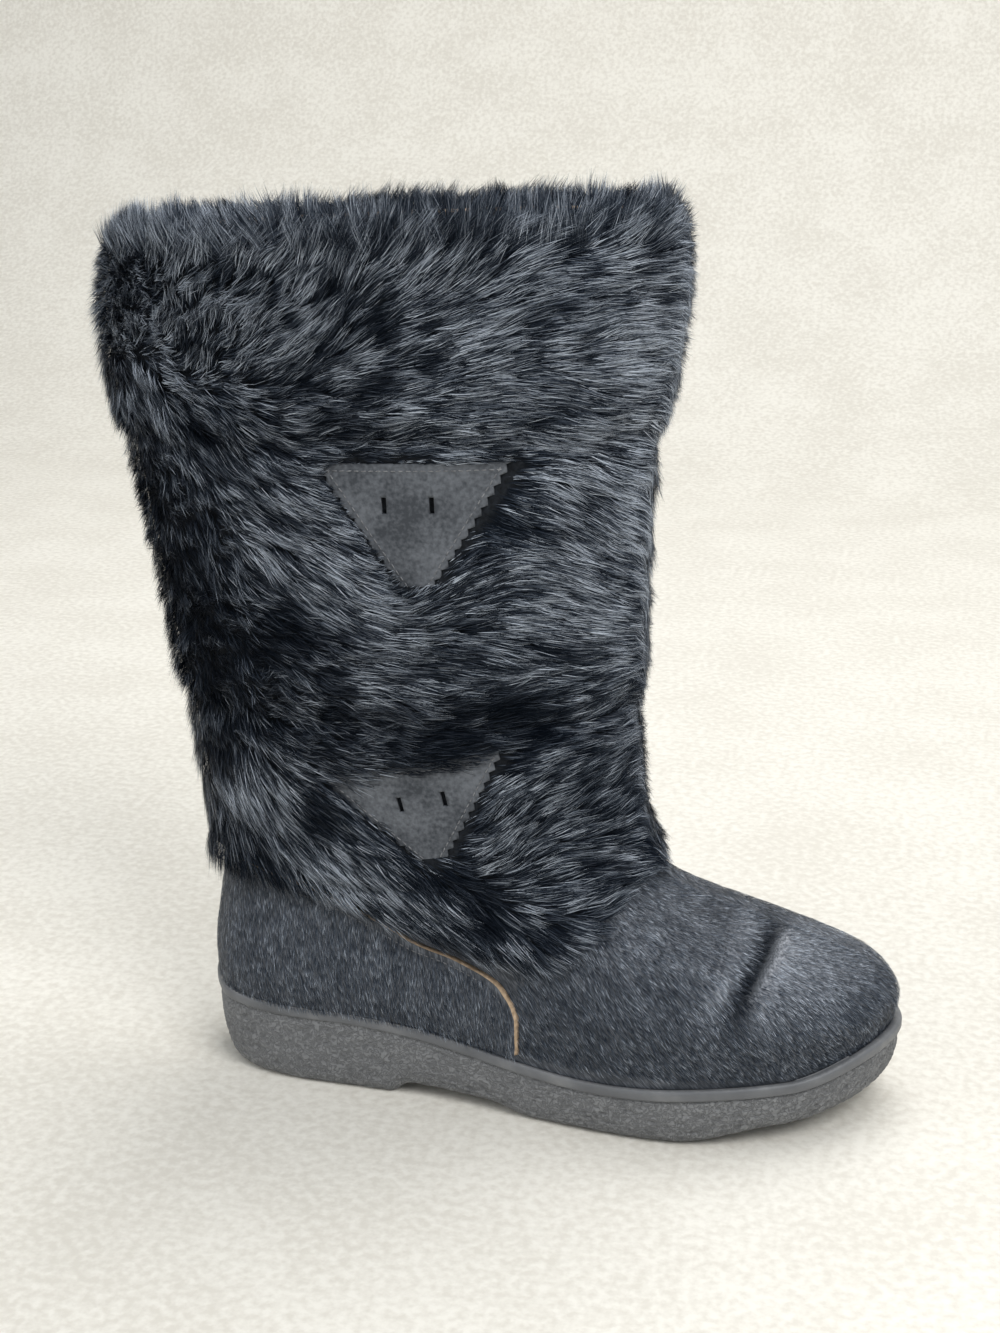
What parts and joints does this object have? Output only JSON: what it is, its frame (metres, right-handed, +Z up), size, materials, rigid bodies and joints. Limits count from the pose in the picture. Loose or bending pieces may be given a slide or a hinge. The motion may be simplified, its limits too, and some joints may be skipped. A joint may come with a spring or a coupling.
{
  "type": "mukluk boot",
  "caption": "Right-foot mukluk boot with a hide foot, a tall shaft of long black fur in tiers, suede patches on the outer side and a moulded crepe sole.",
  "frame": {"origin": "middle of the heel's flat tread, on the floor", "axes": "+X towards the toe, +Y towards the inner side of the foot, +Z up"},
  "size_m": [0.3112, 0.1196, 0.3478],
  "materials": {
    "sole_rubber": "crepe-textured, matte",
    "short_hide": "short-haired hide, soft sheen",
    "insole_felt": "felt",
    "long_fur": "long silky fur on the skin",
    "suede": "suede"
  },
  "bodies": {
    "root": {"outsole": "sole_rubber", "upper": "short_hide", "insole": "insole_felt", "heel_counter": "short_hide", "fur_cuff": "long_fur", "fur_middle": "long_fur", "fur_lower": "long_fur", "patch_upper": "suede", "patch_lower": "suede"}
  },
  "joints": []
}
